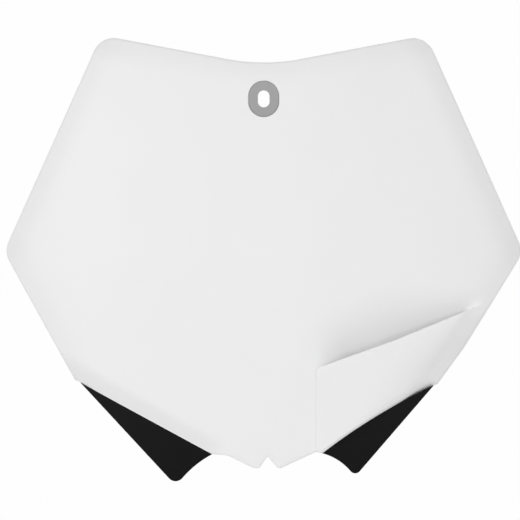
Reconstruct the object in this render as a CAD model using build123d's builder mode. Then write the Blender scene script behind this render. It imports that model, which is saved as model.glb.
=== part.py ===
from build123d import *
import os
from math import asin, atan2, copysign, cos, degrees, hypot, sin, sqrt

os.makedirs("parts", exist_ok=True)

# Front number board of an off-road racing motorbike, in millimetres. The origin is the middle of
# the screw slot, on the back of the pad that bears on the motorbike. +Z is up, the front faces -Y,
# and +X is on the right of someone who looks at the front. Reaches are measured sideways from the
# slot, heights up and drops down from it. In, out, above and below are measured from the point that
# the block names. All sizes run to sharp corners, before those are rounded.

# Curved face, wall and rolled rim of the board
face_radius = 300.0
bow_radius = 800.0
bow_drop = 50.0
wall = 2.2
rim_radius = 8.0
rim_land = 5.0

# Outline of the top and the sides
top_reach = 91.5
top_height = 36.0
top_corner_radius = 12.0
dip_height = 18.5
dip_radius = 110.0
side_reach = 146.5
side_drop = 86.0
side_corner_radius = 12.0

# Lower left border, straight, with a wide bevel. Its shoulder is so far below the side corner. Inside,
# its line runs on past the root by a share.
left_shoulder_reach = 106.5
left_shoulder_below = 72.0
root_reach = 29.0
root_drop = 200.0
bevel_width = 8.0
bevel_depth = 4.0
border_overrun = 0.45

# Lower right flank, placed from the side corner, and its shoulder, placed from the flank
flank_in = 33.5
flank_below = 54.0
flank_radius = 40.0
right_shoulder_in = 15.0
right_shoulder_below = 20.5

# Raised panel at the lower right, which ends in a softer rim than the rest of the board. Its top edge
# is placed from the flank.
panel_left = 29.6
panel_top_below = 11.5
panel_knee_in = 39.0
panel_knee_above = 4.3
panel_knee_radius = 100.0
panel_end_out = 18.5
panel_end_above = 27.8
panel_corner_radius = 3.0
panel_raise = 1.2
panel_edge_round = 0.9
panel_rim_extra = 6.0

# Lower right border, with its root placed from the panel's left edge and the left root
right_root_gap = 3.4
right_root_above = 0.5
right_border_bow = 2.3
right_border_round = 2.0

# Hollow above the panel. Each step is a share of the panel's top edge, from its left end, then a
# share of the full depth and a share of the full width there. The cutter leads out past its width.
hollow_width = 27.0
hollow_depth = 10.5
hollow_lip = 0.25
hollow_lead = 1.6
hollow_steps = [(-0.06, -0.25, 1.0), (0.16, 0.8, 1.0), (0.5, 1.0, 1.0), (0.85, 0.7, 0.6), (1.15, 0.4, 0.4)]

# Tongue between the borders, with a V notch between two lobes, all placed from the left root
tongue_bend_in = 8.5
tongue_bend_below = 0.5
tongue_bend_radius = 12.0
lobe_below = 7.8
lobe_radius = 1.5
left_lobe_outer = 5.7
left_lobe_inner = 2.6
notch_shift = 2.1
notch_below = 1.2
notch_radius = 0.6
right_lobe_inner = 8.0
right_lobe_outer = 9.7
tongue_peak_gap = 0.2
tongue_peak_above = 1.4

# Screw slot, with a washer let into the face and a flat pad behind
slot_width = 6.5
slot_length = 9.5
washer_width = 17.0
washer_length = 20.0
washer_thickness = 1.5
washer_round = 0.3
washer_clearance = 0.15
bed_depth = 1.9
pad_web = 2.6
pad_margin = 4.5

# Black corners, with tips and arches placed along and out from the borders, by a share of their run
corner_wall = 2.0
corner_round = 1.2
corner_setback = 3.5
left_tip_share = 0.89
left_tip_out = 25.38
left_tip_radius = 5.0
left_arch_share = 0.909
left_arch_out = 18.43
right_tip_share = 0.879
right_tip_out = 20.8
right_tip_radius = 3.4
right_arch_share = 0.89
right_arch_out = 16.21

# Worked out from the sizes above
rim_depth = rim_radius + rim_land
panel_rim_radius = rim_radius + panel_rim_extra
pad_depth = bed_depth + pad_web
corner_step = bevel_depth
apex = -pad_depth - bow_radius + sqrt(bow_radius**2 - bow_drop**2)
reach = 2 * side_reach
lobe_drop = root_drop + lobe_below
flank = (side_reach - flank_in, -side_drop - flank_below)
left_shoulder = (-left_shoulder_reach, -side_drop - left_shoulder_below)
left_root = (-root_reach, -root_drop)
right_shoulder = (flank[0] - right_shoulder_in, flank[1] - right_shoulder_below)
right_root = (panel_left + right_root_gap, right_root_above - root_drop)
panel_start = (panel_left, flank[1] - panel_top_below)
panel_knee = (flank[0] - panel_knee_in, flank[1] + panel_knee_above)
panel_end = (flank[0] + panel_end_out, flank[1] + panel_end_above)


def between(start, end, share):
    """Point at a share of the way from one point to another; past the end above one."""
    return (start[0] + share * (end[0] - start[0]), start[1] + share * (end[1] - start[1]))


def off_border(shoulder, root, share, out):
    """Point below a border of the board: at a share of its run from the shoulder, and so far out."""
    run = (root[0] - shoulder[0], root[1] - shoulder[1])
    away = copysign(out, run[0]) / hypot(*run)
    return (shoulder[0] + share * run[0] + away * run[1], shoulder[1] + share * run[1] - away * run[0])


def face_y(x, z):
    """Depth of the board's curved face at a place seen from the front."""
    side_sag = face_radius - sqrt(face_radius**2 - x**2)
    return apex + bow_radius - sqrt((bow_radius - side_sag) ** 2 - (z + bow_drop) ** 2)


def on_face(place):
    """Point of the curved face at a place seen from the front."""
    return (place[0], face_y(*place), place[1])


def front_edge(block, place):
    """Edge of a block's curved front that is nearest to a place seen from the front."""
    front = block.faces().filter_by(GeomType.TORUS).sort_by(Axis.Y)[0]
    return front.edges().sort_by_distance(on_face(place))[0]


def curved_slab(front_inset, back_inset):
    """Space between two layers under the curved face, each at its own distance from it."""
    margin = 1.2
    half_arc = margin * degrees(asin(side_reach / (face_radius - 2 * rim_depth)))
    half_bow = margin * degrees(asin((lobe_drop - bow_drop) / (bow_radius - 4 * rim_depth)))
    bow_line = Plane(origin=(0, apex + bow_radius, -bow_drop))
    centre = (0, face_radius - bow_radius)
    with BuildPart() as slab:
        with BuildSketch(bow_line.rotated((-half_bow, 0, 0))):
            with BuildLine():
                front = CenterArc(centre, face_radius - front_inset, -90 - half_arc, 2 * half_arc)
                back = CenterArc(centre, face_radius - back_inset, -90 - half_arc, 2 * half_arc)
                Line(front @ 0, back @ 0)
                Line(front @ 1, back @ 1)
            make_face()
        revolve(axis=Axis(bow_line.origin, (1, 0, 0)), revolution_arc=2 * half_bow)
    return slab.part


def shield_sketch(inset):
    """Outline of the board. Drawn in by an inset, for the inside, it runs on below the tongue."""
    with BuildSketch(Plane.XZ) as shield:
        with BuildLine():
            FilletPolyline(
                right_shoulder,
                flank,
                (side_reach, -side_drop),
                (top_reach, top_height),
                (0, dip_height),
                (-top_reach, top_height),
                (-side_reach, -side_drop),
                left_shoulder,
                radius=[
                    flank_radius,
                    side_corner_radius,
                    top_corner_radius,
                    dip_radius,
                    top_corner_radius,
                    side_corner_radius,
                ],
            )
            if inset > 0:
                foot = between(left_shoulder, left_root, 1 + border_overrun)
                Polyline(left_shoulder, foot, right_root)
            else:
                Line(left_shoulder, left_root)
                FilletPolyline(
                    left_root,
                    (tongue_bend_in - root_reach, -root_drop - tongue_bend_below),
                    (-left_lobe_outer, -lobe_drop),
                    (-left_lobe_inner, -lobe_drop),
                    (notch_shift, -root_drop - notch_below),
                    (right_lobe_inner, -lobe_drop),
                    (right_lobe_outer, -lobe_drop),
                    (panel_left - tongue_peak_gap, tongue_peak_above - root_drop),
                    right_root,
                    radius=[
                        tongue_bend_radius,
                        lobe_radius,
                        lobe_radius,
                        notch_radius,
                        lobe_radius,
                        lobe_radius,
                        lobe_radius,
                    ],
                )
            SagittaArc(right_root, right_shoulder, right_border_bow)
        make_face()
        if inset > 0:
            offset(amount=-inset, kind=Kind.INTERSECTION)
    return shield.sketch


def panel_sketch(inset):
    """Area below and to the right of the panel's top and left edges, drawn in by an inset."""
    past_rim = between(panel_knee, panel_end, 2)
    with BuildSketch(Plane.XZ) as area:
        with BuildLine():
            FilletPolyline(
                (panel_left, -reach),
                panel_start,
                panel_knee,
                past_rim,
                radius=[panel_corner_radius, panel_knee_radius],
            )
            Polyline(past_rim, (past_rim[0], -reach), (panel_left, -reach))
        make_face()
        if inset > 0:
            offset(amount=-inset, kind=Kind.INTERSECTION)
    return area.sketch


def hollow_section(along, depth_share, width_share, inset):
    """Section of the cutter for the hollow, square to the panel's top edge at a share of its run.

    The face rolls back more and more towards the panel, from a faint lip at the hollow's far side.
    """
    slope = atan2(panel_end[1] - panel_start[1], panel_end[0] - panel_start[0])
    across = (-sin(slope), cos(slope))
    place = between(panel_start, panel_end, along)
    width = hollow_width * width_share
    depth = hollow_depth * depth_share
    low = -hollow_width / 2
    lead = hollow_lead * width
    front = -reach / 4

    def face_line(s):
        return face_y(place[0] + s * across[0], place[1] + s * across[1]) - face_y(*place) + inset

    def rolled(s):
        left = 1 - s / width
        return face_line(s) + depth * ((1 - hollow_lip) * left**2 + hollow_lip * left)

    plane = Plane(
        origin=on_face(place),
        x_dir=(across[0], 0, across[1]),
        z_dir=(-across[1], 0, across[0]),
    )
    middle = (low + width) / 2
    lip = (width, face_line(width))
    lead_out = (lead, face_line(lead) - hollow_lip * depth * (lead / width - 1))
    with BuildSketch(plane) as section:
        with BuildLine():
            ThreePointArc((low, rolled(low)), (middle, rolled(middle)), lip)
            Polyline(lip, lead_out, (lead, front), (low, front), (low, rolled(low)))
        make_face()
    return section.sketch


def board_form(inset):
    """Solid form of the board: as it is, or with face and outline drawn in, which is its inside."""
    back = rim_depth if inset == 0 else rim_depth + rim_radius
    shield = shield_sketch(inset)
    area = panel_sketch(inset)
    face_slab = curved_slab(inset, back)
    panel_slab = curved_slab(inset - panel_raise, back)
    sections = [hollow_section(*step, inset) for step in hollow_steps]
    bevel_thinning = inset * (bevel_width + bevel_depth - hypot(bevel_width, bevel_depth))

    with BuildPart() as hollow:
        loft(sections)

    with BuildPart() as face:
        add(face_slab)
        extrude(shield, amount=reach, both=True, mode=Mode.INTERSECT)
        border = front_edge(face, between(left_shoulder, left_root, 0.5))
        chamfer(
            border,
            bevel_width - bevel_thinning / bevel_depth,
            bevel_depth - bevel_thinning / bevel_width,
            reference=face.faces().filter_by(GeomType.TORUS).sort_by(Axis.Y)[0],
        )
        fillet(front_edge(face, (0, dip_height)), rim_radius - inset)
        add(hollow.part, mode=Mode.SUBTRACT)
        extrude(area, amount=reach, both=True, mode=Mode.SUBTRACT)

    with BuildPart() as panel:
        add(panel_slab)
        extrude(shield, amount=reach, both=True, mode=Mode.INTERSECT)
        extrude(area, amount=reach, both=True, mode=Mode.INTERSECT)
        fillet(front_edge(panel, flank), panel_rim_radius - inset)
        if inset == 0:
            fillet(front_edge(panel, panel_start), panel_edge_round)
            fillet(front_edge(panel, between(right_shoulder, right_root, 0.5)), right_border_round)

    with BuildPart() as form:
        add(face.part)
        add(panel.part)
    return form.part


def oblong_prism(width, length, back, front):
    """Upright oblong on the slot's axis, between two depths."""
    with BuildPart() as prism:
        with BuildSketch(Plane.XZ.offset(-back)):
            SlotOverall(length, width, rotation=90)
        extrude(amount=back - front)
    return prism.part


def corner_sketch(shoulder, root, arch, tip, tip_radius, inset):
    """Outline of a black corner: outer edge, tip, arch, and the border that it shares with the board."""
    setback = corner_setback / hypot(root[0] - shoulder[0], root[1] - shoulder[1])
    top = between(shoulder, root, setback)
    overlap = corner_setback / 2 / hypot(top[0] - tip[0], top[1] - tip[1])
    past_top = between(tip, top, 1 + overlap)
    with BuildSketch(Plane.XZ) as corner:
        with BuildLine():
            edge = FilletPolyline(past_top, tip, arch, radius=tip_radius)
            TangentArc(arch, root, tangent=edge % 1)
            Polyline(root, (root[0], shoulder[1]), past_top)
        make_face()
        add(shield_sketch(0), mode=Mode.SUBTRACT)
        if inset > 0:
            offset(amount=-inset, kind=Kind.INTERSECTION)
    return corner.sketch


def corner_form(shoulder, root, arch, tip, tip_radius, inset):
    """Solid form of a black corner under the board's face: as it is, or its inside."""
    back = rim_depth if inset == 0 else rim_depth + rim_radius
    outline = corner_sketch(shoulder, root, arch, tip, tip_radius, inset)
    layer = curved_slab(corner_step + inset, back)
    with BuildPart() as form:
        add(layer)
        extrude(outline, amount=reach, both=True, mode=Mode.INTERSECT)
        if inset == 0:
            fillet(front_edge(form, between(shoulder, tip, 0.6)), corner_round)
    return form.part


board_outside = board_form(0)
board_inside = board_form(wall)
pad = oblong_prism(washer_width + 2 * pad_margin, washer_length + 2 * pad_margin, 0, -reach / 4)
bed_width = washer_width + 2 * washer_clearance
bed_length = washer_length + 2 * washer_clearance
bed = oblong_prism(bed_width, bed_length, -pad_web, -reach / 4)
slot = oblong_prism(slot_width, slot_length, reach / 4, -reach / 4)
washer_blank = oblong_prism(washer_width, washer_length, -pad_web, -pad_web - washer_thickness)
left_tip = off_border(left_shoulder, left_root, left_tip_share, left_tip_out)
left_arch = off_border(left_shoulder, left_root, left_arch_share, left_arch_out)
left_lines = (left_shoulder, left_root, left_arch, left_tip, left_tip_radius)
left_outside = corner_form(*left_lines, 0)
left_inside = corner_form(*left_lines, corner_wall)
right_tip = off_border(right_shoulder, right_root, right_tip_share, right_tip_out)
right_arch = off_border(right_shoulder, right_root, right_arch_share, right_arch_out)
right_lines = (right_shoulder, right_root, right_arch, right_tip, right_tip_radius)
right_outside = corner_form(*right_lines, 0)
right_inside = corner_form(*right_lines, corner_wall)

with BuildPart() as pad_space:
    add(board_inside)
    add(pad, mode=Mode.SUBTRACT)

# White board: one moulded wall, with a pad for the screw left standing on its back
with BuildPart() as number_board:
    add(board_outside)
    add(pad_space.part, mode=Mode.SUBTRACT)
    add(bed, mode=Mode.SUBTRACT)
    add(slot, mode=Mode.SUBTRACT)
number_board.part.label = "number_board"
export_step(number_board.part, "parts/number_board.step")

# Grey washer that lies in its bed round the slot
with BuildPart() as slot_washer:
    add(washer_blank)
    fillet(slot_washer.faces().sort_by(Axis.Y)[0].edges(), washer_round)
    add(slot, mode=Mode.SUBTRACT)
slot_washer.part.label = "slot_washer"
export_step(slot_washer.part, "parts/slot_washer.step")

# Black corners, open at the back, bonded to the board along its lower borders
with BuildPart() as left_corner:
    add(left_outside)
    add(left_inside, mode=Mode.SUBTRACT)
left_corner.part.label = "left_corner"
export_step(left_corner.part, "parts/left_corner.step")

with BuildPart() as right_corner:
    add(right_outside)
    add(right_inside, mode=Mode.SUBTRACT)
right_corner.part.label = "right_corner"
export_step(right_corner.part, "parts/right_corner.step")
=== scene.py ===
from math import acos, ceil, cos, hypot, pi, radians, sin, tan

import bmesh
import bpy
import numpy as np
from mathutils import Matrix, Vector
from mathutils.geometry import delaunay_2d_cdt
from mathutils.kdtree import KDTree


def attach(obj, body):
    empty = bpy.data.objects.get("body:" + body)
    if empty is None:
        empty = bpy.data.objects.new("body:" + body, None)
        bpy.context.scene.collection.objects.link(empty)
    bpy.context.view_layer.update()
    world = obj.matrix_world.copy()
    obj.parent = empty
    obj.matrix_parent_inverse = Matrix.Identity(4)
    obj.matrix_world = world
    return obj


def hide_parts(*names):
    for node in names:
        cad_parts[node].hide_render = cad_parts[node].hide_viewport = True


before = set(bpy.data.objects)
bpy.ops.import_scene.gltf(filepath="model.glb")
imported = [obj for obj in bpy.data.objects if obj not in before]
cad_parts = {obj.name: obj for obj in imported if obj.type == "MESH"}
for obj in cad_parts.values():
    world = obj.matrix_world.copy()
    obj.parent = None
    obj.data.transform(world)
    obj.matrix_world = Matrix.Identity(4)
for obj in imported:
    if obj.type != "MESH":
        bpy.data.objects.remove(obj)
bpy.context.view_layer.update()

# White number board: one satin polypropylene moulding, 2.2 mm thick, with a rolled rim, a bevelled
# lower left border, a pressed hollow over a raised panel, and a pad for the screw on its back.
# Its relief is drawn flat, in millimetres, and a node tree bends it to the board's double curve.
face_radius, bow_radius, bow_drop = 300.0, 800.0, 50.0
wall, rim_depth = 2.2, 13.0
pad_depth, pad_web = 4.5, 2.6
apex = -pad_depth - bow_radius + (bow_radius**2 - bow_drop**2) ** 0.5

side, top, dip = (146.5, -86.0), (91.5, 36.0), (0.0, 18.5)
left_side, left_top, past_top = (-side[0], side[1]), (-top[0], top[1]), (150.0, 47.2)
flank_radius, side_radius, top_radius, dip_radius = 40.0, 12.0, 12.0, 110.0
left_shoulder, left_root = (-106.5, -158.0), (-29.0, -200.0)
flank, right_shoulder, right_root = (113.0, -140.0), (98.0, -160.5), (33.0, -199.5)
tongue = [
    left_root, (-20.5, -200.5), (-5.7, -207.8), (-2.6, -207.8), (2.1, -201.2),
    (8.0, -207.8), (9.7, -207.8), (29.4, -198.6), right_root,
]
tongue_radii = [12.0, 1.5, 1.5, 0.6, 1.5, 1.5, 1.5]
panel_start, panel_knee, panel_end = (29.6, -151.5), (74.0, -135.7), (131.5, -112.2)
panel_corner_radius, panel_knee_radius, below_board = 3.0, 100.0, -230.0
panel_raise, panel_edge_round, panel_wall = 1.2, 0.9, 0.14
right_border_bow, right_border_round = 2.3, 2.0
tip_fall, tip_width, tip_even, tip_fade = 2.2, 5.0, 0.2, (1, 9)


def straight(start, end, step):
    """Points from one point to another, without the first."""
    count = max(1, ceil(hypot(end[0] - start[0], end[1] - start[1]) / step))
    return [np.array(start) + (np.array(end) - start) * k / count for k in range(1, count + 1)]


def rounded_line(corners, corner_radii, step, widest_turn=radians(10)):
    """Points along a line with rounded corners."""
    points = [np.array(corners[0], float)]
    for before, corner, after, radius in zip(corners, corners[1:], corners[2:], corner_radii):
        into = np.subtract(corner, before) / np.linalg.norm(np.subtract(corner, before))
        away = np.subtract(after, corner) / np.linalg.norm(np.subtract(after, corner))
        turn = acos(into @ away)
        bend = 1.0 if into[0] * away[1] > into[1] * away[0] else -1.0
        start = np.array(corner) - into * radius * tan(turn / 2)
        inwards = bend * np.array((-into[1], into[0]))
        points += straight(points[-1], start, step)
        count = max(ceil(turn * radius / step), ceil(turn / widest_turn))
        for k in range(1, count + 1):
            angle = turn * k / count
            points.append(start + radius * (inwards * (1 - cos(angle)) + into * sin(angle)))
    return points + straight(points[-1], corners[-1], step)


def bowed_line(start, end, bow, step):
    """Points along a shallow arc that swells to the left of its way."""
    run = np.subtract(end, start)
    across = np.array((-run[1], run[0])) / np.linalg.norm(run)
    count = ceil(np.linalg.norm(run) / step)
    shares = np.arange(1, count + 1) / count
    return [np.array(start) + run * t + across * bow * 4 * t * (1 - t) for t in shares]


def ways_in(line):
    """Unit normals to the left of a line at its points, lengthened at sharp turns."""
    runs = np.diff(line, axis=0)
    runs /= np.linalg.norm(runs, axis=1)[:, None]
    normals = np.column_stack((-runs[:, 1], runs[:, 0]))
    firsts = np.vstack((normals[:1], normals))
    lasts = np.vstack((normals, normals[-1:]))
    both = firsts + lasts
    return both / (1 + (firsts * lasts).sum(1))[:, None]


def nearest(line, places, batch_size=1500):
    """Distance from places to a line, the point of the line there and the way in from it."""
    starts, runs = line[:-1], np.diff(line, axis=0)
    normals = ways_in(line)
    distances, points, inwards = [], [], []
    for batch in np.array_split(places, len(places) // batch_size + 1):
        gaps = batch[:, None] - starts
        shares = np.clip((gaps * runs).sum(2) / (runs**2).sum(1), 0, 1)
        gaps -= shares[..., None] * runs
        closest = (gaps**2).sum(2).argmin(1)
        rows = np.arange(len(batch))
        share = shares[rows, closest][:, None]
        way = normals[closest] * (1 - share) + normals[closest + 1] * share
        distances.append(np.linalg.norm(gaps[rows, closest], axis=1))
        points.append(starts[closest] + share * runs[closest])
        inwards.append(way / np.linalg.norm(way, axis=1)[:, None])
    return np.concatenate(distances), np.vstack(points), np.vstack(inwards)


def inside(loop, places):
    """Whether places lie inside a closed loop."""
    x, z = places[:, 0], places[:, 1]
    found = np.zeros(len(places), bool)
    for (x1, z1), (x2, z2) in zip(loop, np.roll(loop, -1, axis=0)):
        if z1 != z2:
            found ^= ((z1 > z) != (z2 > z)) & (x < (x2 - x1) * (z - z1) / (z2 - z1) + x1)
    return found


def face_depth(places, inset=0.0):
    """Depth of the curved face, or of a layer under it, and its slopes."""
    x, z = places[:, 0], places[:, 1] + bow_drop
    drop = np.sqrt((face_radius - inset) ** 2 - x**2)
    ring = bow_radius - face_radius + drop
    root = np.sqrt(ring**2 - z**2)
    return apex + bow_radius - root, np.column_stack((ring * x / drop, z)) / root[:, None]


def eased(value, half):
    """Value above zero, nothing below, with a soft turn between."""
    soft = (value + half) ** 2 / (4 * half)
    return np.where(value > half, value, np.where(value > -half, soft, 0.0))


def ramp(value, low, high):
    """Smooth rise from nothing to one."""
    share = np.clip((value - low) / (high - low), 0, 1)
    return share * share * (3 - 2 * share)


def sloped(distance, width, even):
    """Share of a fall left at a distance from an edge: an even slope first, then an easing one."""
    out = np.clip(distance / width, 0, 1)
    easing = (1 - np.maximum(out, even)) ** 2 / (1 - even)
    return (easing + 2 * np.maximum(even - out, 0)) / (1 + even)


def rolled(distance, radius, slope):
    """Fall of a rolled edge behind a sloping face, at a distance in from the outline."""
    tilt = np.arctan(slope)
    end = radius * (1 - np.sin(tilt))
    near = np.clip(distance, 0, end)
    arc = np.sqrt(np.maximum(radius**2 - (radius - near) ** 2, 0))
    return end / np.cos(tilt) - arc + near * slope


step, tongue_step, panel_step = 1.7, 0.9, 1.5
rim_line = rounded_line(
    [right_shoulder, flank, side, top, dip, left_top, left_side, left_shoulder],
    [flank_radius, side_radius, top_radius, dip_radius, top_radius, side_radius],
    step,
)
border_line = straight(left_shoulder, left_root, step)
tongue_line = rounded_line(tongue, tongue_radii, tongue_step)[1:]
right_line = bowed_line(right_root, right_shoulder, right_border_bow, step)[:-1]
stretches = [rim_line, border_line, tongue_line, right_line]
outline = np.vstack(stretches)
zones = np.repeat(["rim", "border", "tongue", "right"], [len(stretch) for stretch in stretches])
# Where stretches meet, the left shoulder and the right root count as ends of the borders.
zones[len(rim_line) - 1] = "border"
zones[len(outline) - len(right_line) - 1] = "right"

# The rolled rim runs on past both shoulders, so that its curve meets the borders squarely.
overrun = 25.0
first_run = np.subtract(right_shoulder, flank) / np.linalg.norm(np.subtract(right_shoulder, flank))
last_run = np.subtract(left_shoulder, left_side)
last_run /= np.linalg.norm(last_run)
rim_start = np.array(right_shoulder) + first_run * overrun
rim_long = np.array(
    [rim_start] + straight(rim_start, right_shoulder, step) + rim_line[1:]
    + straight(left_shoulder, np.array(left_shoulder) + last_run * overrun, step)
)
top_line = np.array(rounded_line([past_top, dip, (-past_top[0], past_top[1])], [dip_radius], step))
past_rim = np.add(panel_knee, 2 * np.subtract(panel_end, panel_knee))
panel_line = np.array(
    rounded_line(
        [(panel_start[0], below_board), panel_start, panel_knee, past_rim],
        [panel_corner_radius, panel_knee_radius],
        panel_step,
    )
)
panel_loop = np.vstack((panel_line, [(past_rim[0], below_board)]))
border_run = np.subtract(left_root, left_shoulder)
border_length = np.linalg.norm(border_run)
border_run /= border_length
border_in = np.array((-border_run[1], border_run[0]))
right_edge = np.array([right_root] + right_line + [right_shoulder])
tongue_edge = np.array([left_root] + tongue_line)

# Falls of the margins, the bevel and the hollow. A pair says where a change begins and ends: in
# millimetres, or for the hollow's opening, narrowing and shallowing, in shares of the panel's edge.
top_fall, upper_fall, lower_fall = 3.2, 2.2, 1.4
crown_width, crown_even, crown_roll = 14.5, 0.35, 1.2
panel_fall, panel_crown_width, panel_crown_even, panel_roll = 8.0, 28.0, 0.0, 2.0
panel_crown_start, panel_fade = (-2, 24), (6, 12)
bevel_width, bevel_fall, bevel_ease, bevel_end = 8.5, 4.0, 2.5, (-3, 9)
hollow_depth, hollow_width, hollow_even, hollow_fade = 13.8, 32.0, 0.25, (4, 12)
hollow_opening = (-0.02, 0.24)
hollow_narrowing, narrowing_run = 0.8, (0.38, 1.05)
hollow_shallowing, shallowing_run = 0.92, (0.45, 1.08)
tongue_fall, tongue_round = 0.5, 0.6
slot_radius, slot_straight, bed_radius, small_round = 3.25, 3.0, 8.65, 0.25
pad_radius, pad_stand, pad_flare, pad_clear = 13.0, 0.7, 0.5, 2.2
inner_roll, back_step = 1.0, 4.6


def oblong(radius, count=24):
    """Upright oblong round the slot, longer than it is wide by the slot's straight sides."""
    turns = np.linspace(0, pi, count)
    upper = np.column_stack((radius * np.cos(turns), slot_straight / 2 + radius * np.sin(turns)))
    return np.vstack((upper, -upper))


def pressed(places):
    """Depths of the face and the panel, with crowned margins, and the distance out of the panel."""
    depth, _ = face_depth(places)
    crown = top_fall * sloped(nearest(top_line, places)[0], crown_width, crown_even)
    for start, end, fall in (
        (side, top, upper_fall), (flank, side, lower_fall),
        (left_top, left_side, upper_fall), (left_side, left_shoulder, lower_fall),
    ):
        run = np.subtract(end, start) / np.linalg.norm(np.subtract(end, start))
        distance = (places - start) @ np.array((-run[1], run[0]))
        crown += fall * sloped(distance, crown_width, crown_even)
    from_panel, _, _ = nearest(panel_line, places)
    from_panel = np.where(inside(panel_loop, places), -from_panel, from_panel)
    from_rim, _, _ = nearest(rim_long, places)
    past_border = (places - left_shoulder) @ border_run - border_length
    from_border = (places - left_shoulder) @ border_in
    bevel = bevel_fall / bevel_width * eased(bevel_width - from_border, bevel_ease)
    bevel *= 1 - ramp(past_border, *bevel_end)
    chord = np.subtract(panel_end, panel_start)
    along = (places - panel_start) @ chord / (chord @ chord)
    reach = hollow_width * (1 - hollow_narrowing * ramp(along, *narrowing_run))
    hollow = hollow_depth * ramp(along, *hollow_opening)
    hollow *= 1 - hollow_shallowing * ramp(along, *shallowing_run)
    hollow *= sloped(from_panel, reach, hollow_even) * ramp(from_rim, *hollow_fade)
    panel_crown = panel_fall * sloped(from_rim, panel_crown_width, panel_crown_even)
    panel_crown = np.maximum(panel_crown * ramp(-from_panel, *panel_crown_start), crown)
    raised = panel_raise * ramp(from_rim, *panel_fade)
    return depth + crown + bevel + hollow, depth + panel_crown - raised, from_panel


def front_depth(places):
    """Depth of the board's front, with the rolled rim, the panel's edge and the borders' edges."""
    face, panel, out = pressed(places)
    from_rim, rim_points, rim_in = nearest(rim_long, places)
    slope = -(face_depth(rim_points)[1] * rim_in).sum(1)
    face = face + rolled(from_rim, crown_roll, slope)
    panel = panel + rolled(from_rim, panel_roll, slope)
    from_right, right_points, _ = nearest(right_edge, places)
    towards_tip = ramp(right_points[:, 0], right_root[0], right_shoulder[0])
    panel = panel + rolled(from_right, right_border_round, 0.0)
    tip_roll = sloped(from_right, tip_width, tip_even)
    panel += tip_fall * towards_tip * ramp(from_rim, *tip_fade) * tip_roll
    near = np.clip(out + panel_edge_round, 0, panel_edge_round)
    turn = panel_edge_round - np.sqrt(panel_edge_round**2 - near**2)
    edge = panel + turn * ramp(from_rim, *panel_fade)
    share = np.clip(out / panel_wall, 0, 1)
    depth = np.where(out < 0, edge, edge * (1 - share) + face * share)
    from_tongue, _, _ = nearest(tongue_edge, places)
    return depth + tongue_fall * np.clip(1 - from_tongue / tongue_round, 0, 1) ** 2


def back_depth(places):
    """Depth of the board's back, one wall behind the front, with a softer step at the panel."""
    nudge = 0.05
    ways = ((nudge, 0), (-nudge, 0), (0, nudge), (0, -nudge))
    right, left, above, below = (np.array(pressed(places + way)[:2]) for way in ways)
    face, panel, out = pressed(places)
    steepness = ((right - left) ** 2 + (above - below) ** 2) / (2 * nudge) ** 2
    face, panel = np.array((face, panel)) + wall * np.sqrt(1 + steepness)
    depth = panel + (face - panel) * ramp(out, -back_step, 0.0)
    from_rim, rim_points, rim_in = nearest(rim_long, places)
    slope = -(face_depth(rim_points)[1] * rim_in).sum(1)
    depth += rolled(np.maximum(from_rim - wall, 0), inner_roll, slope)
    pad = oblong(pad_radius)
    from_pad = nearest(np.vstack((pad, pad[:1])), places)[0]
    return np.minimum(depth, -pad_stand + np.where(inside(pad, places), 0, from_pad * pad_flare))


# Lines of points that follow each feature, and an even field of points between them.
lines = []


def keep_lines(line, distances, margin, clear_share=0.9):
    """Adds the parts of a line's parallels that stay inside the outline and off the pad."""
    for distance in distances:
        points = line + ways_in(line) * distance
        from_outline, _, _ = nearest(np.vstack((outline, outline[:1])), points)
        clear = inside(outline, points) & ~inside(oblong(pad_radius + pad_clear), points)
        clear &= from_outline > min(margin, abs(distance) * clear_share)
        breaks = np.flatnonzero(np.diff(clear.astype(int))) + 1
        for part, kept in zip(np.split(points, breaks), np.split(clear, breaks)):
            if kept[0] and len(part) > 1:
                lines.append(part)


keep_lines(rim_long, (0.1, 0.35, 0.75, 1.3, 2.0, 2.9, 3.9, 5.0, 6.3, 7.8, 9.6, 11.6), margin=9.0)
border_overrun, border_step = 10, 2.0
border_past = np.array(left_root) + border_run * border_overrun
border_long = np.array(straight(left_shoulder, border_past, border_step))
keep_lines(border_long, (0.4, 1.5, 3.0, 4.5, 5.7, 6.6, 7.5, 8.4, 9.3, 10.2, 11.2, 12.6), margin=0.4)
keep_lines(panel_line, (3.0, 1.7, 0.9, 0.65, 0.42, 0.22, 0.08), margin=0.12)
keep_lines(panel_line, (0.0,), margin=-1.0)
keep_lines(panel_line, (-panel_wall, -0.5, -1.2, -2.4, -4.0), margin=0.12)
keep_lines(right_edge, (0.1, 0.35, 0.75, 1.3, 2.0, 2.8, 3.6, 4.8), margin=0.09)
keep_lines(tongue_edge, (0.2, 0.6), margin=0.15)

bed_loop, pad_loop = oblong(bed_radius + small_round), oblong(pad_radius)
loops = [outline, bed_loop, pad_loop]
bed_ring, pad_ring = 1.2, 1.5
rings = [oblong(bed_radius + bed_ring), oblong(pad_radius + pad_ring)]
points = np.vstack(loops + lines + rings)
taken = KDTree(len(points))
for k, point in enumerate(points):
    taken.insert((*point, 0.0), k)
taken.balance()
pitch, row_share, free_share = 3.0, 0.866, 0.62
field_low, field_high, field_side = -210, 40, 150
field_rows = enumerate(np.arange(field_low, field_high, pitch * row_share))
columns = np.arange(-field_side, field_side, pitch)
field = np.array([(x + pitch / 2 * (k % 2), z) for k, z in field_rows for x in columns])
field = field[inside(outline, field) & ~inside(bed_loop, field)]
free = [taken.find((*place, 0.0))[2] > free_share * pitch for place in field]
points = np.vstack((points, field[free]))

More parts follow.
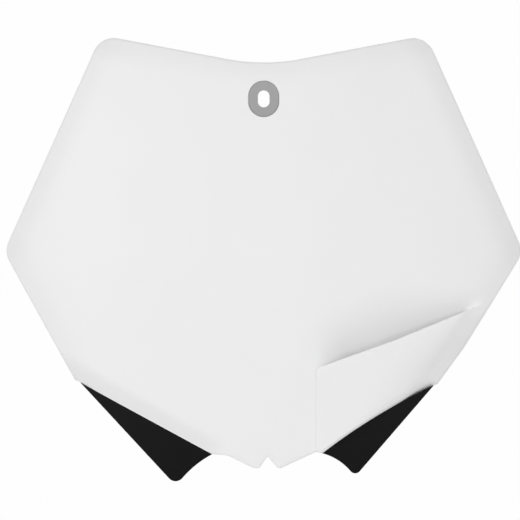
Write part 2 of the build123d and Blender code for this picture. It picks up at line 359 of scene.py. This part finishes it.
same_place = 1e-5
edges, first = [], 0
for loop in loops:
    edges += [(first + k, first + (k + 1) % len(loop)) for k in range(len(loop))]
    first += len(loop)
for line in lines:
    edges += [(first + k, first + k + 1) for k in range(len(line) - 1)]
    first += len(line)
net_points, _, net_faces, net_sources, _, _ = delaunay_2d_cdt(
    [Vector(p) for p in points], edges, [], 0, same_place
)
net = np.array([tuple(p) for p in net_points])
origin = {}
for k, sources in enumerate(net_sources):
    for source in sources:
        origin[source] = k
outline_net = [origin[k] for k in range(len(outline))]
bed_net = [origin[len(outline) + k] for k in range(len(bed_loop))]
pad_net = [origin[len(outline) + len(bed_loop) + k] for k in range(len(pad_loop))]

# Slivers along the straight stretches of the outline are left out, and so is what lies in the bed.
sliver_area = 1e-3
triangles = np.array([t for t in net_faces if len(t) == 3])
middles = net[triangles].mean(1)
one, other = net[triangles[:, 1:]].swapaxes(0, 1) - net[triangles[:, 0]]
slivers = abs(one[:, 0] * other[:, 1] - one[:, 1] * other[:, 0]) < sliver_area
slivers &= np.isin(triangles, outline_net).all(1)
triangles = triangles[inside(outline, middles) & ~inside(bed_loop, middles) & ~slivers]
behind_pad = inside(pad_loop, net[triangles].mean(1))

# The back of the board is the same net drawn in at the edges and set one wall further back.
rim_blend, border_blend, border_end, right_blend, least_shift = 8, 12, (-1, 4), 6, 1e-9
from_rim, _, rim_in = nearest(rim_long, net)
rim_shift = wall * np.clip(1 - from_rim / rim_blend, 0, 1)
from_border = (net - left_shoulder) @ border_in
past_border = (net - left_shoulder) @ border_run - border_length
border_shift = wall * np.clip(1 - from_border / border_blend, 0, 1)
border_shift *= 1 - ramp(past_border, *border_end)
from_right, _, right_in = nearest(right_edge, net)
into_panel = nearest(panel_line, net)[0] * inside(panel_loop, net)
right_shift = wall * np.clip(1 - from_right / right_blend, 0, 1)
right_shift *= ramp(into_panel, 0, right_root[0] - panel_start[0])
zone_of = np.full(len(net), "inside")
zone_of[outline_net] = zones
border_shift[zone_of == "border"] = wall
right_shift[zone_of == "right"] = wall
side_shift = border_shift + right_shift
side_in = np.where((right_shift > border_shift)[:, None], right_in, border_in)
larger = np.maximum(np.maximum(rim_shift, side_shift), least_shift)
both = np.minimum(rim_shift, side_shift) / larger
shift = rim_shift[:, None] * rim_in + side_shift[:, None] * side_in
back_net = net + shift / (1 + both * (rim_in * side_in).sum(1))[:, None]

vertices = [np.column_stack((net[:, 0], front_depth(net), net[:, 1]))]
vertices.append(np.column_stack((back_net[:, 0], back_depth(back_net), back_net[:, 1])))
faces = [tuple(t) for t in triangles]
faces += [tuple(t[::-1] + len(net)) for t in triangles[~behind_pad]]


def row(places, depths):
    """Points of one row, all at one depth or each at its own."""
    return np.column_stack((places[:, 0], np.broadcast_to(depths, len(places)), places[:, 1]))


def add_rows(profile, start, end):
    """Rows of points that close the way from one ring of the net to another."""
    count = len(start)
    numbers = [start]
    for row_points in profile:
        used = sum(len(part) for part in vertices)
        vertices.append(row_points)
        numbers.append(range(used, used + count))
    numbers.append(end)
    for ring, next_ring in zip(numbers, numbers[1:]):
        for k in range(count):
            n = (k + 1) % count
            faces.append((ring[k], ring[n], next_ring[n], next_ring[k]))


# The rim and the borders end in a rounded land behind the face, and the tongue in a plain cut edge.
front_edge, back_edge = vertices[0][outline_net], vertices[1][outline_net]
to_back = back_net[outline_net] - outline
land = face_depth(outline, rim_depth)[0]
edge_round, edge_turn = 0.35, 0.1
edge_rows = (
    (0, edge_round, 0.15), (edge_turn, edge_turn, 0.3), (edge_round, 0, 0.45),
    (wall - edge_round, 0, 0.6), (wall - edge_turn, edge_turn, 0.75), (wall, edge_round, 0.9),
)
profile = []
for inwards, lift, share in edge_rows:
    land_row = row(outline + to_back * inwards / wall, land - lift)
    cut_row = front_edge + (back_edge - front_edge) * share
    profile.append(np.where((zones == "tongue")[:, None], cut_row, land_row))
add_rows(profile, outline_net, [k + len(net) for k in outline_net])

# The bed for the washer, the slot and the pad's edge are rows between the front and the back.
bed, slot, slot_mouth = oblong(bed_radius), oblong(slot_radius), oblong(slot_radius + small_round)
pad_round, pad_turn = 0.4, 0.1
add_rows(
    [
        row(bed, front_depth(bed) + small_round), row(bed, -pad_web),
        row(slot_mouth, -pad_web), row(slot, -pad_web + small_round),
        row(slot, -small_round), row(slot_mouth, 0.0),
        row(oblong(pad_radius - pad_round), 0.0), row(oblong(pad_radius - pad_turn), -pad_turn),
        row(pad_loop, -pad_round),
    ],
    bed_net,
    [k + len(net) for k in pad_net],
)
relief = np.vstack(vertices)
relief[:, 1] -= face_depth(relief[:, [0, 2]])[0]

per_metre = 1000
flat_mesh = bpy.data.meshes.new("board_relief")
flat_mesh.from_pydata(relief / per_metre, [], faces)
closed = bmesh.new()
closed.from_mesh(flat_mesh)
bmesh.ops.delete(closed, geom=[v for v in closed.verts if not v.link_faces], context="VERTS")
bmesh.ops.recalc_face_normals(closed, faces=closed.faces)
closed.to_mesh(flat_mesh)
closed.free()
relief_object = bpy.data.objects.new("board_relief", flat_mesh)
bpy.context.scene.collection.objects.link(relief_object)


def grain_group():
    """Fine moulded grain in the height and the gloss, with faint clouds in the colour."""
    cloud_fineness, cloud_low, cloud_high = 28.0, 0.25, 0.75
    group = bpy.data.node_groups.new("moulded_grain", "ShaderNodeTree")
    for name, kind, direction in (
        ("Colour", "NodeSocketColor", "INPUT"), ("Cloud", "NodeSocketFloat", "INPUT"),
        ("Grain Size", "NodeSocketFloat", "INPUT"), ("Roughness", "NodeSocketFloat", "INPUT"),
        ("Roughness Drift", "NodeSocketFloat", "INPUT"), ("Colour", "NodeSocketColor", "OUTPUT"),
        ("Roughness", "NodeSocketFloat", "OUTPUT"), ("Height", "NodeSocketFloat", "OUTPUT"),
    ):
        group.interface.new_socket(name, in_out=direction, socket_type=kind)
    add, link = group.nodes.new, group.links.new
    given, result = add("NodeGroupInput"), add("NodeGroupOutput")
    place = add("ShaderNodeTexCoord").outputs["Object"]
    fineness = add("ShaderNodeMath")
    fineness.operation = "DIVIDE"
    fineness.inputs[0].default_value = 1.0
    link(given.outputs["Grain Size"], fineness.inputs[1])
    grain, cloud = add("ShaderNodeTexNoise"), add("ShaderNodeTexNoise")
    grain.inputs["Detail"].default_value = 2.0
    link(place, grain.inputs["Vector"])
    link(fineness.outputs[0], grain.inputs["Scale"])
    cloud.inputs["Scale"].default_value = cloud_fineness
    cloud.inputs["Detail"].default_value = 3.0
    link(place, cloud.inputs["Vector"])
    shade = add("ShaderNodeMapRange")
    shade.inputs["From Min"].default_value = cloud_low
    shade.inputs["From Max"].default_value = cloud_high
    shade.inputs["To Min"].default_value = 1.0
    link(cloud.outputs["Fac"], shade.inputs["Value"])
    darkest = add("ShaderNodeMath")
    darkest.operation = "SUBTRACT"
    darkest.inputs[0].default_value = 1.0
    link(given.outputs["Cloud"], darkest.inputs[1])
    link(darkest.outputs[0], shade.inputs["To Max"])
    tint = add("ShaderNodeVectorMath")
    tint.operation = "SCALE"
    link(given.outputs["Colour"], tint.inputs[0])
    link(shade.outputs["Result"], tint.inputs["Scale"])
    drift = add("ShaderNodeMath")
    drift.operation = "MULTIPLY_ADD"
    link(grain.outputs["Fac"], drift.inputs[0])
    link(given.outputs["Roughness Drift"], drift.inputs[1])
    link(given.outputs["Roughness"], drift.inputs[2])
    link(tint.outputs[0], result.inputs["Colour"])
    link(drift.outputs[0], result.inputs["Roughness"])
    link(grain.outputs["Fac"], result.inputs["Height"])
    return group


moulded_grain = grain_group()


def moulded(name, colour, cloud, grain_size, roughness, drift, grain_depth, specular):
    """Moulded plastic of one colour, with grain of a given size and depth."""
    material = bpy.data.materials.new(name)
    material.use_nodes = True
    nodes, links = material.node_tree.nodes, material.node_tree.links
    plastic = nodes["Principled BSDF"]
    plastic.inputs["Specular IOR Level"].default_value = specular
    grain = nodes.new("ShaderNodeGroup")
    grain.node_tree = moulded_grain
    grain.inputs["Colour"].default_value = (*colour, 1.0)
    grain.inputs["Cloud"].default_value = cloud
    grain.inputs["Grain Size"].default_value = grain_size
    grain.inputs["Roughness"].default_value = roughness
    grain.inputs["Roughness Drift"].default_value = drift
    bump = nodes.new("ShaderNodeBump")
    bump.inputs["Strength"].default_value = 1.0
    bump.inputs["Distance"].default_value = grain_depth
    links.new(grain.outputs["Colour"], plastic.inputs["Base Color"])
    links.new(grain.outputs["Roughness"], plastic.inputs["Roughness"])
    links.new(grain.outputs["Height"], bump.inputs["Height"])
    links.new(bump.outputs["Normal"], plastic.inputs["Normal"])
    return material


white_plastic = moulded(
    "white_plastic", colour=(0.83, 0.83, 0.83), cloud=0.012, grain_size=0.0006,
    roughness=0.4, drift=0.1, grain_depth=0.000004, specular=0.35,
)

bend = bpy.data.node_groups.new("board_bend", "GeometryNodeTree")
bend.interface.new_socket("Geometry", in_out="INPUT", socket_type="NodeSocketGeometry")
bend_sizes = {
    "Face Radius": face_radius, "Bow Radius": bow_radius, "Bow Drop": bow_drop, "Apex": apex,
}
for name in bend_sizes:
    bend.interface.new_socket(name, in_out="INPUT", socket_type="NodeSocketFloat")
bend.interface.new_socket("Plastic", in_out="INPUT", socket_type="NodeSocketMaterial")
bend.interface.new_socket("Geometry", in_out="OUTPUT", socket_type="NodeSocketGeometry")
given, result = bend.nodes.new("NodeGroupInput"), bend.nodes.new("NodeGroupOutput")
apart = bend.nodes.new("ShaderNodeSeparateXYZ")
bend.links.new(bend.nodes.new("GeometryNodeInputPosition").outputs[0], apart.inputs[0])


def worked(operation, *terms):
    """Result of one step of arithmetic in the bend."""
    node = bend.nodes.new("ShaderNodeMath")
    node.operation = operation
    for term, socket in zip(terms, node.inputs):
        bend.links.new(term, socket)
    return node.outputs[0]


across, up = apart.outputs["X"], worked("ADD", apart.outputs["Z"], given.outputs["Bow Drop"])
radius, bow = given.outputs["Face Radius"], given.outputs["Bow Radius"]
across_square, up_square = worked("MULTIPLY", across, across), worked("MULTIPLY", up, up)
chord = worked("SQRT", worked("SUBTRACT", worked("MULTIPLY", radius, radius), across_square))
ring = worked("SUBTRACT", bow, worked("SUBTRACT", radius, chord))
fall = worked("SQRT", worked("SUBTRACT", worked("MULTIPLY", ring, ring), up_square))
back = worked("ADD", given.outputs["Apex"], worked("SUBTRACT", bow, fall))
shifted = bend.nodes.new("ShaderNodeCombineXYZ")
bend.links.new(back, shifted.inputs["Y"])
placed = bend.nodes.new("GeometryNodeSetPosition")
bend.links.new(given.outputs["Geometry"], placed.inputs["Geometry"])
bend.links.new(shifted.outputs[0], placed.inputs["Offset"])
whole = bend.nodes.new("GeometryNodeRealizeInstances")
bend.links.new(placed.outputs[0], whole.inputs[0])
finish = bend.nodes.new("GeometryNodeSetMaterial")
bend.links.new(whole.outputs[0], finish.inputs["Geometry"])
bend.links.new(given.outputs["Plastic"], finish.inputs["Material"])
bend.links.new(finish.outputs[0], result.inputs[0])

bending = relief_object.modifiers.new("bend", "NODES")
bending.node_group = bend
for socket in bend.interface.items_tree:
    if socket.in_out == "INPUT" and socket.name in bend_sizes:
        bending[socket.identifier] = bend_sizes[socket.name] / per_metre
    if socket.in_out == "INPUT" and socket.name == "Plastic":
        bending[socket.identifier] = white_plastic
bpy.context.view_layer.update()
shaped = relief_object.evaluated_get(bpy.context.evaluated_depsgraph_get())
board_mesh = bpy.data.meshes.new_from_object(shaped)
board_mesh.name = "board"
relief_object.modifiers.remove(bending)
bpy.data.objects.remove(relief_object)
sharp_angle = radians(38)
board_mesh.shade_smooth()
board_mesh.set_sharp_from_angle(angle=sharp_angle)
board = bpy.data.objects.new("board", board_mesh)
bpy.context.scene.collection.objects.link(board)
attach(board, "root")
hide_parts("number_board")

# Oblong washer: a flat grey nylon ring, 1.5 mm thick, that lies loose in its bed round the slot and
# spreads the load of the screw's head.
grey_nylon = moulded(
    "grey_nylon", colour=(0.36, 0.36, 0.36), cloud=0.04, grain_size=0.0004,
    roughness=0.55, drift=0.1, grain_depth=0.000006, specular=0.25,
)
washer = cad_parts["slot_washer"]
washer.data.materials.clear()
washer.data.materials.append(grey_nylon)

# Black lower corners: two satin black mouldings, open at the back, bonded to the board's lower
# borders and set behind its face.
black_plastic = moulded(
    "black_plastic", colour=(0.003, 0.003, 0.003), cloud=0.1, grain_size=0.0005,
    roughness=0.45, drift=0.12, grain_depth=0.000008, specular=0.11,
)
for name in ("left_corner", "right_corner"):
    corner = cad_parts[name]
    corner.data.materials.clear()
    corner.data.materials.append(black_plastic)

# Studio: a pale floor that fades to white away from the board, an even white surround, and soft
# lamps on both sides, in front, above and behind, with the left one stronger than the right.
floor_drop, floor_reach, floor_grey, backdrop_white = 0.28, 1.0, 0.94, 0.99
fade_start, fade_end, surround_strength = 0.35, 0.9, 0.45
floor_mesh = bpy.data.meshes.new("floor")
floor_shape = bmesh.new()
bmesh.ops.create_circle(floor_shape, cap_ends=True, segments=96, radius=floor_reach)
bmesh.ops.translate(floor_shape, verts=floor_shape.verts, vec=(0, 0, -floor_drop))
floor_shape.to_mesh(floor_mesh)
floor_shape.free()
floor = bpy.data.objects.new("floor", floor_mesh)
bpy.context.scene.collection.objects.link(floor)
pale = bpy.data.materials.new("pale_floor")
pale.use_nodes = True
nodes, links = pale.node_tree.nodes, pale.node_tree.links
paint = nodes["Principled BSDF"]
paint.inputs["Base Color"].default_value = (floor_grey, floor_grey, floor_grey, 1)
paint.inputs["Roughness"].default_value = 0.9
glow = nodes.new("ShaderNodeEmission")
glow.inputs["Color"].default_value = (backdrop_white, backdrop_white, backdrop_white, 1)
away = nodes.new("ShaderNodeVectorMath")
away.operation = "LENGTH"
links.new(nodes.new("ShaderNodeTexCoord").outputs["Object"], away.inputs[0])
fade = nodes.new("ShaderNodeMapRange")
fade.interpolation_type = "SMOOTHSTEP"
fade.inputs["From Min"].default_value = fade_start
fade.inputs["From Max"].default_value = fade_end
links.new(away.outputs["Value"], fade.inputs["Value"])
path = nodes.new("ShaderNodeLightPath")
seen = nodes.new("ShaderNodeMath")
seen.operation = "MULTIPLY"
links.new(fade.outputs["Result"], seen.inputs[0])
links.new(path.outputs["Is Camera Ray"], seen.inputs[1])
blend = nodes.new("ShaderNodeMixShader")
links.new(seen.outputs[0], blend.inputs["Fac"])
links.new(paint.outputs[0], blend.inputs[1])
links.new(glow.outputs[0], blend.inputs[2])
links.new(blend.outputs[0], nodes["Material Output"].inputs["Surface"])
floor_mesh.materials.append(pale)

board_middle = Vector((0.0, 0.0, -0.09))
for name, place, width, power in (
    ("left_lamp", (-2.2, -2.2, 0.12), 1.1, 28.0),
    ("right_lamp", (2.2, -2.2, 0.12), 1.1, 17.2),
    ("front_lamp", (0.0, -3.0, 0.12), 1.1, 5.4),
    ("top_lamp", (0.0, -2.4, 1.7), 1.6, 9.5),
    ("back_lamp", (1.2, 2.3, 1.5), 1.2, 30.0),
):
    lamp = bpy.data.lights.new(name, "AREA")
    lamp.size = width
    lamp.energy = power
    lamp_object = bpy.data.objects.new(name, lamp)
    lamp_object.location = place
    lamp_object.rotation_euler = (board_middle - Vector(place)).to_track_quat("-Z", "Y").to_euler()
    bpy.context.scene.collection.objects.link(lamp_object)

world = bpy.data.worlds.new("surround")
bpy.context.scene.world = world
world.use_nodes = True
nodes, links = world.node_tree.nodes, world.node_tree.links
surround = nodes["Background"]
surround.inputs["Color"].default_value = (1, 1, 1, 1)
surround.inputs["Strength"].default_value = surround_strength
white = nodes.new("ShaderNodeBackground")
white.inputs["Color"].default_value = (backdrop_white, backdrop_white, backdrop_white, 1)
path = nodes.new("ShaderNodeLightPath")
direct = nodes.new("ShaderNodeMath")
direct.operation = "MAXIMUM"
links.new(path.outputs["Is Camera Ray"], direct.inputs[0])
links.new(path.outputs["Is Glossy Ray"], direct.inputs[1])
through = nodes.new("ShaderNodeMath")
through.operation = "MAXIMUM"
links.new(direct.outputs[0], through.inputs[0])
links.new(path.outputs["Is Transmission Ray"], through.inputs[1])
choice = nodes.new("ShaderNodeMixShader")
links.new(through.outputs[0], choice.inputs["Fac"])
links.new(surround.outputs[0], choice.inputs[1])
links.new(white.outputs[0], choice.inputs[2])
links.new(choice.outputs[0], nodes["World Output"].inputs["Surface"])

# Camera: square to the front, through a long lens, so that the board fills the frame as it does in
# the photograph.
view_width, view_distance, view_middle = 0.2925, 12.0, (-0.0021, -0.0906)
camera = bpy.data.cameras.new("camera")
camera.sensor_width = 36.0
camera.lens = camera.sensor_width * view_distance / view_width
camera.clip_end = 100.0
camera_object = bpy.data.objects.new("camera", camera)
camera_object.location = (view_middle[0], -view_distance, view_middle[1])
camera_object.rotation_euler = (pi / 2, 0, 0)
bpy.context.scene.collection.objects.link(camera_object)
bpy.context.scene.camera = camera_object
bpy.context.scene.view_settings.view_transform = "Standard"

bpy.context.view_layer.update()
